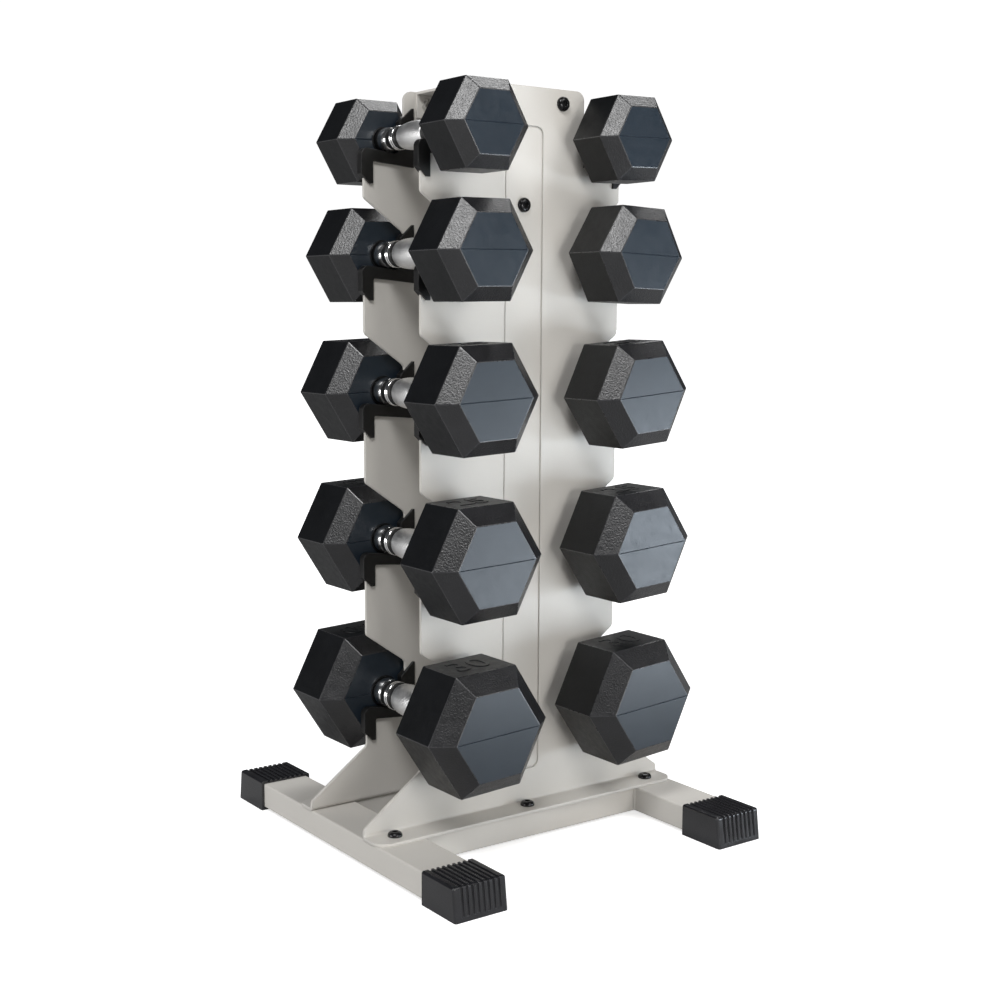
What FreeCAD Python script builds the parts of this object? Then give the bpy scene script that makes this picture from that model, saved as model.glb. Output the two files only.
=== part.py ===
import FreeCAD, Part
import os
import Sketcher

# A five-tier dumbbell rack with its ten hex dumbbells, in millimetres.
# X runs across the rack, Y from front to back and Z up. The origin is on the floor, at the
# middle of the rack. The rack is symmetric about the planes X = 0 and Y = 0, so most pieces
# are modelled once, on the front left, and mirrored.

TIERS = (1, 2, 3, 4, 5)

# The driving dimensions: every other size is an expression of these.
DIMENSIONS = {
    # upright plates
    "plate_top": 730.0,
    "plate_thickness": 3.0,
    "plate_gap": 97.0,
    "body_half": 72.0,
    "tooth_half": 117.5,
    "flare_top": 84.0,
    "flare_low": 38.0,
    "flange_half": 181.0,
    "flange_front": 80.0,
    "strip_half": 22.5,
    "strip_top": 693.5,
    "strip_low": 63.5,
    "strip_depth": 1.6,
    "strip_line": 1.4,
    "strip_rise": 0.8,
    "strip_wall": 2.5,
    "top_round": 9.0,
    "tooth_round": 5.0,
    "throat_round": 7.0,
    "flange_round": 14.0,
    "strip_round": 8.0,
    "bend_outside": 2.0,
    "bend_inside": 4.0,
    # the lower outer corner of each tooth, above the floor
    "tooth_low_1": 626.0,
    "tooth_low_2": 496.0,
    "tooth_low_3": 350.0,
    "tooth_low_4": 197.0,
    "tooth_slant": 35.0,
    # saddles: the foot of each one's leg, above the floor
    "saddle_low_1": 639.5,
    "saddle_low_2": 528.0,
    "saddle_low_3": 394.5,
    "saddle_low_4": 246.5,
    "saddle_low_5": 89.5,
    "saddle_cover": 4.0,
    "saddle_thickness": 8.0,
    "saddle_leg": 13.0,
    "saddle_seat": 34.5,
    "saddle_web": 13.0,
    "saddle_slope": 7.5,
    "saddle_wall": 78.0,
    "saddle_inner": 62.0,
    "saddle_tip": 74.0,
    "saddle_lip": 71.5,
    "saddle_relief": 4.0,
    "saddle_tip_width": 2.0,
    "saddle_bevel": 9.0,
    "finger_bevel": 13.0,
    "saddle_shoulder": 7.0,
    "saddle_nook": 6.0,
    "saddle_armpit": 1.5,
    # how far the cuts that shape the saddles and caps reach past them
    "past": 5.0,
    # base
    "foot_middle": 155.0,
    "foot_width": 50.0,
    "foot_length": 394.0,
    "tube_height": 25.0,
    "tube_low": 3.0,
    "tube_wall": 2.0,
    "tube_round": 1.8,
    "crossbar_depth": 25.0,
    "cap_wall": 3.0,
    "cap_round": 2.5,
    "cap_end": 205.5,
    "cap_slant": 3.8,
    "cap_mouth": 152.7,
    "cap_sill": 4.5,
    "rib_groove": 3.3,
    "rib_pitch": 5.6,
    "rib_deep": 1.6,
    # spacers and fasteners
    "channel_half": 58.0,
    "channel_height": 25.0,
    "channel_wall": 2.5,
    "channel_round": 3.0,
    "bolt_side": 45.5,
    "bolt_top": 716.5,
    "bolt_centre": 619.0,
    "bolt_radius": 4.0,
    "bolt_head_radius": 7.0,
    "bolt_head_height": 4.4,
    "bolt_length": 15.0,
    "bolt_socket": 5.0,
    "nut_flats": 13.0,
    "nut_height": 6.5,
    "spacer_radius": 10.0,
    "spacer_bore": 18.0,
    # dumbbells, tier by tier: head across flats and length, half the gap between the heads,
    # and the radius of the handle's neck
    "flats_1": 79.0,
    "flats_2": 91.0,
    "flats_3": 99.5,
    "flats_4": 106.0,
    "flats_5": 115.0,
    "head_length_1": 63.5,
    "head_length_2": 73.0,
    "head_length_3": 79.5,
    "head_length_4": 83.5,
    "head_length_5": 88.0,
    "head_gap_1": 61.0,
    "head_gap_2": 58.0,
    "head_gap_3": 57.0,
    "head_gap_4": 56.0,
    "head_gap_5": 55.5,
    "neck_1": 11.5,
    "neck_2": 13.0,
    "neck_3": 13.5,
    "neck_4": 14.0,
    "neck_5": 14.5,
    # how far each dumbbell is turned about its handle as it lies, in degrees
    "turn_left_1": 0.5,
    "turn_left_2": 1.0,
    "turn_left_3": 2.5,
    "turn_left_4": 2.5,
    "turn_left_5": 3.0,
    "turn_right_1": 1.5,
    "turn_right_2": -2.0,
    "turn_right_3": 4.5,
    "turn_right_4": 4.0,
    "turn_right_5": 4.0,
    # how far each pair lies off the middle along its handles, left forward and right backward
    "slide_1": 3.5,
    "slide_2": 0.0,
    "slide_3": 0.0,
    "slide_4": 0.0,
    "slide_5": 0.0,
    "head_chamfer": 0.145,
    "skin": 3.0,
    "seat_clearance": 0.3,
    "groove_deep": 1.5,
    "grip_bulge": 2.0,
    "grip_half": 20.0,
    "ring_inner": 26.5,
    "ring_outer": 34.0,
    "neck_start": 40.0,
}

doc = FreeCAD.newDocument("dumbbell_rack")
sheet = doc.addObject("Spreadsheet::Sheet", "Sheet")
for row, (alias, size) in enumerate(DIMENSIONS.items(), start=1):
    sheet.set("A%d" % row, alias)
    sheet.set("B%d" % row, str(size))
    sheet.setAlias("B%d" % row, alias)
doc.recompute()

# Lengths that several pieces share, as expressions of the sheet.
PLATE_INNER = "Sheet.plate_gap / 2"
PLATE_OUTER = "(Sheet.plate_gap / 2 + Sheet.plate_thickness)"
TUBE_TOP = "(Sheet.tube_low + Sheet.tube_height)"
FLANGE_TOP = "(Sheet.tube_low + Sheet.tube_height + Sheet.plate_thickness)"
CROSSBAR_MIDDLE = "(Sheet.plate_gap / 2 + Sheet.plate_thickness + Sheet.crossbar_depth / 2)"
SLOPE = "tan(Sheet.saddle_slope * 1 deg)"
SLANT = "tan(Sheet.tooth_slant * 1 deg)"
STRIP_FLOOR = "(Sheet.plate_gap / 2 + Sheet.plate_thickness - Sheet.strip_depth)"
STRIP_FACE = ("(Sheet.plate_gap / 2 + Sheet.plate_thickness - Sheet.strip_depth"
              " + Sheet.strip_rise)")
STRIP_BACK = "(Sheet.plate_gap / 2 - Sheet.strip_depth)"
SADDLE_OUTER = "(Sheet.tooth_half + Sheet.saddle_cover)"


def number(expression):
    """The value of an expression of the sheet."""
    return float(sheet.evalExpression(expression))


# ---------------------------------------------------------------- sketches and features

def plane_of(body, role):
    """One of a body's own origin planes."""
    return [item for item in body.Origin.OriginFeatures if item.Role == role][0]


def sketch_on(body, name, role, offset="0"):
    """An empty sketch on an origin plane of the body, moved along the plane's normal.
    On the XZ plane the normal is -Y; on YZ it is +X; on XY it is +Z."""
    sketch = body.newObject("Sketcher::SketchObject", name)
    sketch.AttachmentSupport = [(plane_of(body, role), "")]
    sketch.MapMode = "FlatFace"
    sketch.setExpression("AttachmentOffset.Base.z", offset)
    return sketch


def pin(sketch, geometry, point, across, up):
    """Hold a point of a sketch at two expressions, measured from the sketch's origin."""
    for kind, expression in (("DistanceX", across), ("DistanceY", up)):
        value = number(expression)
        index = sketch.addConstraint(Sketcher.Constraint(kind, -1, 1, geometry, point, value))
        sketch.setExpression("Constraints[%d]" % index, expression)


def outline(sketch, corners):
    """A closed outline of straight lines through corners, given as pairs of expressions."""
    points = [FreeCAD.Vector(number(across), number(up), 0) for across, up in corners]
    first = sketch.GeometryCount
    for place, point in enumerate(points):
        sketch.addGeometry(Part.LineSegment(point, points[(place + 1) % len(points)]), False)
    for place, (across, up) in enumerate(corners):
        before = first + (place - 1) % len(points)
        sketch.addConstraint(Sketcher.Constraint("Coincident", before, 2, first + place, 1))
        pin(sketch, first + place, 1, across, up)


def box_outline(sketch, left, right, low, high):
    """A rectangle between four expressions."""
    outline(sketch, [(left, low), (right, low), (right, high), (left, high)])


def circle(sketch, across, up, radius):
    """A circle at two expressions, with its radius an expression too."""
    centre = FreeCAD.Vector(number(across), number(up), 0)
    index = sketch.addGeometry(Part.Circle(centre, FreeCAD.Vector(0, 0, 1), number(radius)), False)
    pin(sketch, index, 3, across, up)
    size = sketch.addConstraint(Sketcher.Constraint("Radius", index, number(radius)))
    sketch.setExpression("Constraints[%d]" % size, radius)


def hexagon(sketch, flats):
    """A hexagon about the sketch's origin with its flats at the top and bottom."""
    half = "(%s) / 2" % flats
    side = "(%s) / 2 / sqrt(3)" % flats
    outline(sketch, [
        ("-2 * " + side, "0"),
        ("-" + side, "-" + half),
        (side, "-" + half),
        ("2 * " + side, "0"),
        (side, half),
        ("-" + side, half),
    ])


def new_body(name):
    return doc.addObject("PartDesign::Body", name)


def pad(body, name, sketch, length, midplane=False, reverse=False):
    feature = body.newObject("PartDesign::Pad", name)
    feature.Profile = sketch
    feature.setExpression("Length", length)
    feature.Midplane = midplane
    feature.Reversed = reverse
    doc.recompute()
    return feature


def pocket(body, name, sketch, length=None, midplane=False):
    """A cut into the solid, against the sketch's normal; with no length it goes right through."""
    before = body.Shape.Volume
    feature = body.newObject("PartDesign::Pocket", name)
    feature.Profile = sketch
    feature.Midplane = midplane
    if length is None:
        feature.Type = "ThroughAll"
    else:
        feature.setExpression("Length", length)
    doc.recompute()
    if body.Shape.Volume > before - 1.0:
        raise SystemExit(name + " cuts nothing")
    return feature


def edges_along(shape, axis, places):
    """Names of the straight edges more or less along axis that have an end at places, given as
    pairs of the two other coordinates in X, Y, Z order."""
    others = [index for index in range(3) if index != axis]
    names = []
    for index, edge in enumerate(shape.Edges, start=1):
        if edge.Curve.TypeId != "Part::GeomLine":
            continue
        start, end = edge.Vertexes[0].Point, edge.Vertexes[-1].Point
        if abs(start[axis] - end[axis]) < 0.5 * edge.Length:
            continue
        for place in places:
            misses = [max(abs(point[other] - place[n]) for n, other in enumerate(others))
                      for point in (start, end)]
            if min(misses) < 0.05:
                names.append("Edge%d" % index)
    return names


def fillet(body, name, base, axis, places, radius):
    """Round the edges along axis at places; both are read from the finished base."""
    names = edges_along(base.Shape, axis, places)
    if len(names) < len(places):
        raise SystemExit("%s: %d edges for %d places" % (name, len(names), len(places)))
    feature = body.newObject("PartDesign::Fillet", name)
    feature.Base = (base, names)
    feature.setExpression("Radius", radius)
    doc.recompute()
    return feature


def chamfer_ends(body, name, base, axis, size):
    """Chamfer every edge of the two end faces of a prism that lies along axis."""
    faces = []
    for index, face in enumerate(base.Shape.Faces, start=1):
        if abs(face.normalAt(0, 0)[axis]) > 0.99:
            faces.append("Face%d" % index)
    feature = body.newObject("PartDesign::Chamfer", name)
    feature.Base = (base, faces)
    feature.setExpression("Size", size)
    doc.recompute()
    return feature


def mirror(name, source, normal):
    """A copy of source mirrored in a plane through the origin."""
    copy = doc.addObject("Part::Mirroring", name)
    copy.Source = source
    copy.Normal = normal
    copy.Base = (0, 0, 0)
    doc.recompute()
    return copy


def group(name, members):
    """Separate solids under one name."""
    compound = doc.addObject("Part::Compound", name)
    compound.Links = members
    doc.recompute()
    return compound


def cut(name, base, tool):
    result = doc.addObject("Part::Cut", name)
    result.Base = base
    result.Tool = tool
    doc.recompute()
    return result


LEFT_TO_RIGHT = (1, 0, 0)
FRONT_TO_REAR = (0, 1, 0)
nodes = []


def keep(name, item):
    """Make item one of the sub-parts that are written out."""
    item.Label = name
    nodes.append(item)


# ---------------------------------------------------------------- upright plates

def seat_line(tier):
    """Heights of a tooth's steel top edge, at its outer end and at the notch."""
    seat = "Sheet.saddle_low_%d + Sheet.saddle_seat - Sheet.saddle_cover" % tier
    fall = "(Sheet.tooth_half - Sheet.body_half) * " + SLOPE
    return seat, seat + " - " + fall


def slant_end(tier):
    """Height at which the slanted edge under a tooth meets the plate's narrow body."""
    return "Sheet.tooth_low_%d - (Sheet.tooth_half - Sheet.body_half) * %s" % (tier, SLANT)


def upright_corners():
    """The left edge of the plate's outline, from the top to the floor flange."""
    corners = [("-Sheet.body_half", "Sheet.plate_top")]
    for tier in TIERS:
        outer, notch = seat_line(tier)
        corners.append(("-Sheet.body_half", notch))
        corners.append(("-Sheet.tooth_half", outer))
        if tier < TIERS[-1]:
            corners.append(("-Sheet.tooth_half", "Sheet.tooth_low_%d" % tier))
            corners.append(("-Sheet.body_half", slant_end(tier)))
    corners.append(("-Sheet.tooth_half", "Sheet.flare_top"))
    corners.append(("-Sheet.flange_half", "Sheet.flare_low"))
    corners.append(("-Sheet.flange_half", TUBE_TOP))
    return corners


def opposite(corners):
    """The same corners on the other side, in the order that closes the outline."""
    return [(across.replace("-", "", 1), up) for across, up in reversed(corners)]


def corner_places(corners):
    """Where the corners' edges along Y are, as numbers, on both sides of the plate."""
    places = []
    for across, up in corners:
        places.append((number(across), number(up)))
        places.append((-number(across), number(up)))
    return places


def make_upright():
    body = new_body("upright_body")
    left = upright_corners()
    sketch = sketch_on(body, "upright_outline", "XZ_Plane", PLATE_INNER)
    outline(sketch, left + opposite(left))
    pad(body, "upright_plate", sketch, "Sheet.plate_thickness")

    sketch = sketch_on(body, "flange_outline", "XY_Plane", TUBE_TOP)
    box_outline(sketch, "-Sheet.flange_half", "Sheet.flange_half",
                "-Sheet.flange_front", "-" + PLATE_INNER)
    plate = pad(body, "upright_flange", sketch, "Sheet.plate_thickness")

    top = [("-Sheet.body_half", "Sheet.plate_top")]
    plate = fillet(body, "top_round", plate, 1, corner_places(top), "Sheet.top_round")
    tooth = []
    throat = []
    for tier in TIERS:
        tooth.append(("-Sheet.tooth_half", seat_line(tier)[0]))
        if tier < TIERS[-1]:
            tooth.append(("-Sheet.tooth_half", "Sheet.tooth_low_%d" % tier))
            throat.append(("-Sheet.body_half", slant_end(tier)))
    plate = fillet(body, "tooth_round", plate, 1, corner_places(tooth), "Sheet.tooth_round")
    throat.append(("-Sheet.tooth_half", "Sheet.flare_top"))
    plate = fillet(body, "throat_round", plate, 1, corner_places(throat), "Sheet.throat_round")
    flare = [("-Sheet.flange_half", "Sheet.flare_low")]
    plate = fillet(body, "flare_round", plate, 1, corner_places(flare), "Sheet.tooth_round")
    front = -number("Sheet.flange_front")
    side = number("Sheet.flange_half")
    plate = fillet(body, "flange_round", plate, 2, [(-side, front), (side, front)], "Sheet.flange_round")
    bend = [(-number(PLATE_OUTER), number(FLANGE_TOP))]
    plate = fillet(body, "bend_outside", plate, 0, bend, "Sheet.bend_outside")
    bend = [(-number(PLATE_INNER), number(TUBE_TOP))]
    plate = fillet(body, "bend_inside", plate, 0, bend, "Sheet.bend_inside")

    # the stamped strip: pushed in from the outer face, so it stands out on the inner one
    wall = "Sheet.strip_half + Sheet.strip_wall"
    sketch = sketch_on(body, "strip_back", "XZ_Plane", STRIP_BACK)
    box_outline(sketch, "-(%s)" % wall, wall, "Sheet.strip_low - Sheet.strip_wall",
                "Sheet.strip_top + Sheet.strip_wall")
    plate = pad(body, "strip_ridge", sketch, "Sheet.strip_depth")
    sketch = sketch_on(body, "strip_front", "XZ_Plane", PLATE_OUTER)
    box_outline(sketch, "-Sheet.strip_half", "Sheet.strip_half", "Sheet.strip_low", "Sheet.strip_top")
    pocket(body, "strip_recess", sketch, "Sheet.strip_depth")

    # the strip's face, raised again inside a narrow groove that outlines it
    across = "(Sheet.strip_half - Sheet.strip_line)"
    low = "Sheet.strip_low + Sheet.strip_line"
    high = "Sheet.strip_top - Sheet.strip_line"
    sketch = sketch_on(body, "strip_face_sketch", "XZ_Plane", STRIP_FLOOR)
    box_outline(sketch, "-" + across, across, low, high)
    plate = pad(body, "strip_face", sketch, "Sheet.strip_rise")
    places = [(side * number(across), number(level)) for side in (-1, 1) for level in (low, high)]
    plate = fillet(body, "strip_face_round", plate, 1, places, "Sheet.strip_round - Sheet.strip_line")
    ends = (number("Sheet.strip_low"), number("Sheet.strip_top"))
    places = [(side * number("Sheet.strip_half"), end) for side in (-1, 1) for end in ends]
    fillet(body, "strip_round", plate, 1, places, "Sheet.strip_round")

    sketch = sketch_on(body, "upright_holes", "XZ_Plane", PLATE_OUTER)
    circle(sketch, "-Sheet.bolt_side", "Sheet.bolt_top", "Sheet.bolt_radius")
    circle(sketch, "Sheet.bolt_side", "Sheet.bolt_top", "Sheet.bolt_radius")
    circle(sketch, "0", "Sheet.bolt_centre", "Sheet.bolt_radius")
    pocket(body, "upright_bolt_holes", sketch)
    sketch = sketch_on(body, "flange_holes", "XY_Plane", FLANGE_TOP)
    for across in ("-Sheet.foot_middle", "0", "Sheet.foot_middle"):
        circle(sketch, across, "-" + CROSSBAR_MIDDLE, "Sheet.bolt_radius")
    pocket(body, "flange_bolt_holes", sketch)
    return body


# ---------------------------------------------------------------- base tubes and end caps

def make_foot_tube():
    """The left foot: a rectangular tube along Y with a bolt hole under each upright."""
    body = new_body("foot_tube_body")
    half = "Sheet.foot_width / 2"
    sketch = sketch_on(body, "foot_section", "XZ_Plane")
    box_outline(sketch, "-Sheet.foot_middle - " + half, "-Sheet.foot_middle + " + half,
                "Sheet.tube_low", TUBE_TOP)
    box_outline(sketch, "-Sheet.foot_middle - %s + Sheet.tube_wall" % half,
                "-Sheet.foot_middle + %s - Sheet.tube_wall" % half,
                "Sheet.tube_low + Sheet.tube_wall", TUBE_TOP + " - Sheet.tube_wall")
    tube = pad(body, "foot_tube", sketch, "Sheet.foot_length", midplane=True)
    left = -number("Sheet.foot_middle + Sheet.foot_width / 2")
    right = -number("Sheet.foot_middle - Sheet.foot_width / 2")
    rims = [(side, level) for side in (left, right)
            for level in (number("Sheet.tube_low"), number(TUBE_TOP))]
    fillet(body, "foot_corners", tube, 1, rims, "Sheet.tube_round")
    sketch = sketch_on(body, "foot_holes", "XY_Plane", TUBE_TOP)
    for sign in ("-", ""):
        circle(sketch, "-Sheet.foot_middle", sign + CROSSBAR_MIDDLE, "Sheet.bolt_radius")
    pocket(body, "foot_bolt_holes", sketch, "Sheet.tube_wall")
    return body


def make_crossbar():
    """The front crossbar: a square tube between the feet, under the upright's flange."""
    body = new_body("crossbar_body")
    near = "-%s - Sheet.crossbar_depth / 2" % CROSSBAR_MIDDLE
    far = "-%s + Sheet.crossbar_depth / 2" % CROSSBAR_MIDDLE
    sketch = sketch_on(body, "crossbar_section", "YZ_Plane")
    box_outline(sketch, near, far, "Sheet.tube_low", TUBE_TOP)
    box_outline(sketch, near + " + Sheet.tube_wall", far + " - Sheet.tube_wall",
                "Sheet.tube_low + Sheet.tube_wall", TUBE_TOP + " - Sheet.tube_wall")
    tube = pad(body, "crossbar", sketch, "2 * Sheet.foot_middle - Sheet.foot_width", midplane=True)
    rims = [(number(side), level) for side in (near, far)
            for level in (number("Sheet.tube_low"), number(TUBE_TOP))]
    fillet(body, "crossbar_corners", tube, 0, rims, "Sheet.tube_round")
    sketch = sketch_on(body, "crossbar_hole", "XY_Plane", TUBE_TOP)
    circle(sketch, "0", "-" + CROSSBAR_MIDDLE, "Sheet.bolt_radius")
    pocket(body, "crossbar_bolt_hole", sketch, "Sheet.tube_wall")
    return body


def make_cap():
    """The front left end cap: a ribbed sleeve over the tube that is also the rack's foot."""
    body = new_body("cap_body")
    top = TUBE_TOP + " + Sheet.cap_wall"
    width = "Sheet.foot_width + 2 * Sheet.cap_wall"
    end = "-Sheet.cap_end"
    end_top = "-(Sheet.cap_end - Sheet.cap_slant)"
    sketch = sketch_on(body, "cap_side", "YZ_Plane", "-Sheet.foot_middle")
    outline(sketch, [(end, "0"), ("-Sheet.cap_mouth", "0"), ("-Sheet.cap_mouth", top), (end_top, top)])
    block = pad(body, "cap_block", sketch, width, midplane=True)
    half = number(width) / 2
    sides = [-number("Sheet.foot_middle") - half, -number("Sheet.foot_middle") + half]
    block = fillet(body, "cap_corners", block, 2, [(side, number(end)) for side in sides],
                   "Sheet.cap_round")
    fillet(body, "cap_edges", block, 1, [(side, number(top)) for side in sides],
           "Sheet.cap_round")

    inset = "Sheet.foot_width / 2"
    sketch = sketch_on(body, "cap_socket", "XZ_Plane", "Sheet.cap_mouth")
    box_outline(sketch, "-Sheet.foot_middle - " + inset, "-Sheet.foot_middle + " + inset,
                "Sheet.tube_low", TUBE_TOP)
    socket = body.newObject("PartDesign::Pocket", "cap_socket_cut")
    socket.Profile = sketch
    socket.Reversed = True
    socket.setExpression("Length", "Sheet.foot_length / 2 - Sheet.cap_mouth")
    doc.recompute()

    # one groove runs along the top and down the end face; the others repeat it across the cap
    groove = "Sheet.rib_deep"
    sketch = sketch_on(body, "rib_path", "YZ_Plane", "-Sheet.foot_middle - 3.5 * Sheet.rib_pitch")
    outline(sketch, [
        (end + " - Sheet.past", "Sheet.cap_sill"),
        (end + " + " + groove, "Sheet.cap_sill"),
        (end_top + " + " + groove, top + " - " + groove),
        ("-Sheet.cap_mouth + Sheet.past", top + " - " + groove),
        ("-Sheet.cap_mouth + Sheet.past", top + " + Sheet.past"),
        (end + " - Sheet.past", top + " + Sheet.past"),
    ])
    first = pocket(body, "rib_groove_cut", sketch, "Sheet.rib_groove", midplane=True)
    ribs = body.newObject("PartDesign::LinearPattern", "rib_pattern")
    ribs.Originals = [first]
    ribs.Direction = (sketch, ["N_Axis"])
    ribs.setExpression("Length", "7 * Sheet.rib_pitch")
    ribs.Occurrences = 8
    body.Tip = ribs
    doc.recompute()
    return body


# ---------------------------------------------------------------- spacers between the plates

def make_top_spacer():
    """A channel, open below, that holds the tops of the two plates apart."""
    body = new_body("top_spacer_body")
    low = "Sheet.plate_top - Sheet.channel_height"
    inner = PLATE_INNER + " - Sheet.channel_wall"
    sketch = sketch_on(body, "channel_section", "YZ_Plane")
    outline(sketch, [
        ("-" + PLATE_INNER, low),
        ("-(%s)" % inner, low),
        ("-(%s)" % inner, "Sheet.plate_top - Sheet.channel_wall"),
        (inner, "Sheet.plate_top - Sheet.channel_wall"),
        (inner, low),
        (PLATE_INNER, low),
        (PLATE_INNER, "Sheet.plate_top"),
        ("-" + PLATE_INNER, "Sheet.plate_top"),
    ])
    channel = pad(body, "channel", sketch, "2 * Sheet.channel_half", midplane=True)
    edge = number(PLATE_INNER)
    level = number("Sheet.plate_top")
    fillet(body, "channel_bends", channel, 0, [(-edge, level), (edge, level)],
           "Sheet.channel_round")
    sketch = sketch_on(body, "channel_holes", "XZ_Plane")
    for across in ("-Sheet.bolt_side", "Sheet.bolt_side"):
        circle(sketch, across, "Sheet.bolt_top", "Sheet.bolt_radius")
    pocket(body, "channel_bolt_holes", sketch, "2 * Sheet.plate_gap", midplane=True)
    return body


def make_centre_spacer():
    """A round bar between the stamped strips, threaded at each end."""
    body = new_body("centre_spacer_body")
    sketch = sketch_on(body, "spacer_section", "XZ_Plane")
    circle(sketch, "0", "Sheet.bolt_centre", "Sheet.spacer_radius")
    pad(body, "spacer_bar", sketch, "2 * " + STRIP_BACK, midplane=True)
    for sign, name in (("", "front"), ("-", "rear")):
        sketch = sketch_on(body, "spacer_bore_%s_sketch" % name, "XZ_Plane", sign + STRIP_BACK)
        circle(sketch, "0", "Sheet.bolt_centre", "Sheet.bolt_radius")
        bore = body.newObject("PartDesign::Pocket", "spacer_bore_" + name)
        bore.Profile = sketch
        bore.Reversed = sign == "-"
        bore.setExpression("Length", "Sheet.spacer_bore")
        doc.recompute()
    return body


# ---------------------------------------------------------------- fasteners

def make_bolt():
    """A button-head bolt: the underside of its head is at the origin and it points down."""
    body = new_body("bolt_body")
    sketch = sketch_on(body, "bolt_shank_sketch", "XY_Plane")
    circle(sketch, "0", "0", "Sheet.bolt_radius")
    pad(body, "bolt_shank", sketch, "Sheet.bolt_length", reverse=True)
    sketch = sketch_on(body, "bolt_head_sketch", "XY_Plane")
    circle(sketch, "0", "0", "Sheet.bolt_head_radius")
    head = pad(body, "bolt_head", sketch, "Sheet.bolt_head_height")
    rim = []
    for index, edge in enumerate(head.Shape.Edges, start=1):
        level = edge.BoundBox.ZMin
        if level > number("Sheet.bolt_head_height") - 0.01 and edge.BoundBox.XLength > 1:
            rim.append("Edge%d" % index)
    dome = body.newObject("PartDesign::Fillet", "bolt_dome")
    dome.Base = (head, rim)
    dome.setExpression("Radius", "Sheet.bolt_head_height * 0.8")
    doc.recompute()
    sketch = sketch_on(body, "bolt_socket_sketch", "XY_Plane", "Sheet.bolt_head_height")
    hexagon(sketch, "Sheet.bolt_socket")
    pocket(body, "bolt_socket_cut", sketch, "Sheet.bolt_head_height * 0.6")
    return body


def make_nut():
    """A hex nut under the origin, bored for the bolt."""
    body = new_body("nut_body")
    sketch = sketch_on(body, "nut_sketch", "XY_Plane")
    hexagon(sketch, "Sheet.nut_flats")
    circle(sketch, "0", "0", "Sheet.bolt_radius")
    pad(body, "nut_block", sketch, "Sheet.nut_height", reverse=True)
    return body


def placed(name, source, position, turn):
    """A copy of source at a position given as expressions, turned about X by turn degrees."""
    link = doc.addObject("App::Link", name)
    link.LinkedObject = source
    link.Placement = FreeCAD.Placement(FreeCAD.Vector(), FreeCAD.Rotation(FreeCAD.Vector(1, 0, 0), turn))
    for axis, expression in zip("xyz", position):
        link.setExpression("Placement.Base." + axis, expression)
    doc.recompute()
    return link


def fastener_rows(name, source, level):
    """Six fasteners that point down: three through each upright's floor flange."""
    members = []
    for across in ("-Sheet.foot_middle", "0", "Sheet.foot_middle"):
        for sign in ("-", ""):
            position = (across, sign + CROSSBAR_MIDDLE, level)
            members.append(placed("%s_%d" % (name, len(members)), source, position, 0))
    return group(name, members)


def fastener_faces(name, source, places):
    """Fasteners that point inwards through the front and rear plates; places holds triples of
    X, height and distance from the middle plane."""
    members = []
    for across, level, depth in places:
        for sign, turn in (("-", 90), ("", -90)):
            position = (across, sign + depth, level)
            members.append(placed("%s_%d" % (name, len(members)), source, position, turn))
    return group(name, members)


# ---------------------------------------------------------------- saddles

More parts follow.
